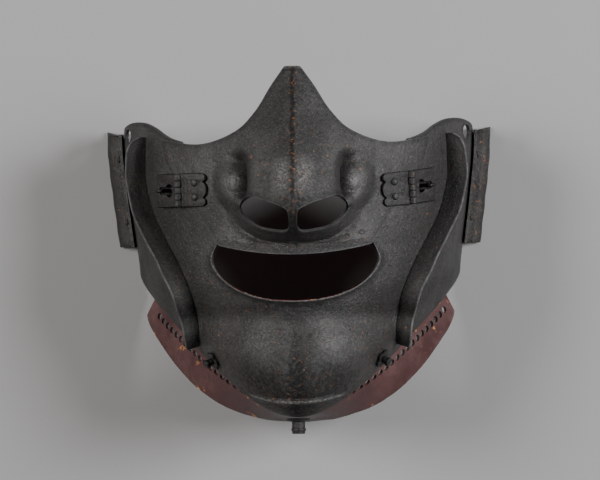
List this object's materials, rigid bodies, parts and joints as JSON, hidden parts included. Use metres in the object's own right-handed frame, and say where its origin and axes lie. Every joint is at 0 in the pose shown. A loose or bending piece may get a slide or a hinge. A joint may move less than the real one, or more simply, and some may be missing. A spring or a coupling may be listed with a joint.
{
  "type": "samurai face guard with throat plate",
  "caption": "Samurai half mask of formed iron with a riveted nose plate on hinges and hooks, cord guards, sweat tube and a red-lacquered throat plate.",
  "frame": {"origin": "under the middle of the whole part, on the surface that its rear edges rest on", "axes": "+X across the face towards its left ear as worn, which is on the right in the picture, +Y from chin to bridge, +Z from the rear edges to the nose"},
  "size_m": [0.184, 0.1657, 0.1285],
  "materials": {
    "russet_iron": "satin",
    "dark_iron": "satin",
    "red_lacquer": "satin"
  },
  "bodies": {
    "face_plates": {"chin_stud_left": "dark_iron", "chin_stud_right": "dark_iron", "chin_washer_left": "russet_iron", "chin_washer_right": "russet_iron", "cord_guard_left": "dark_iron", "cord_guard_right": "dark_iron", "hinge_leaf_left": "russet_iron", "hinge_leaf_right": "russet_iron", "hinge_pin_left": "dark_iron", "hinge_pin_right": "dark_iron", "hinge_rivet_left_1": "dark_iron", "hinge_rivet_left_2": "dark_iron", "hinge_rivet_right_1": "dark_iron", "hinge_rivet_right_2": "dark_iron", "hook_left": "dark_iron", "hook_right": "dark_iron", "jaw_plate": "russet_iron", "nose_plate": "russet_iron", "sweat_tube": "dark_iron", "throat_plate": "red_lacquer", "wing_rivet_left_1": "dark_iron", "wing_rivet_left_2": "dark_iron", "wing_rivet_right_1": "dark_iron", "wing_rivet_right_2": "dark_iron", "wing_strip_left": "russet_iron", "wing_strip_right": "russet_iron"},
    "leaf_left": {"keyhole_leaf_left": "russet_iron"},
    "leaf_right": {"keyhole_leaf_right": "russet_iron"}
  },
  "joints": [
    {"name": "leaf_left_hinge", "type": "hinge", "parent": "face_plates", "child": "leaf_left", "pos_m": [-0.05299, 0.02845, 0.08158], "axis": [-0.0177, 0.9997, 0.0174], "range_deg": [0, 150]},
    {"name": "leaf_right_hinge", "type": "hinge", "parent": "face_plates", "child": "leaf_right", "pos_m": [0.05299, 0.02845, 0.08158], "axis": [0.0434, -0.9959, -0.0795], "range_deg": [0, 150]}
  ]
}
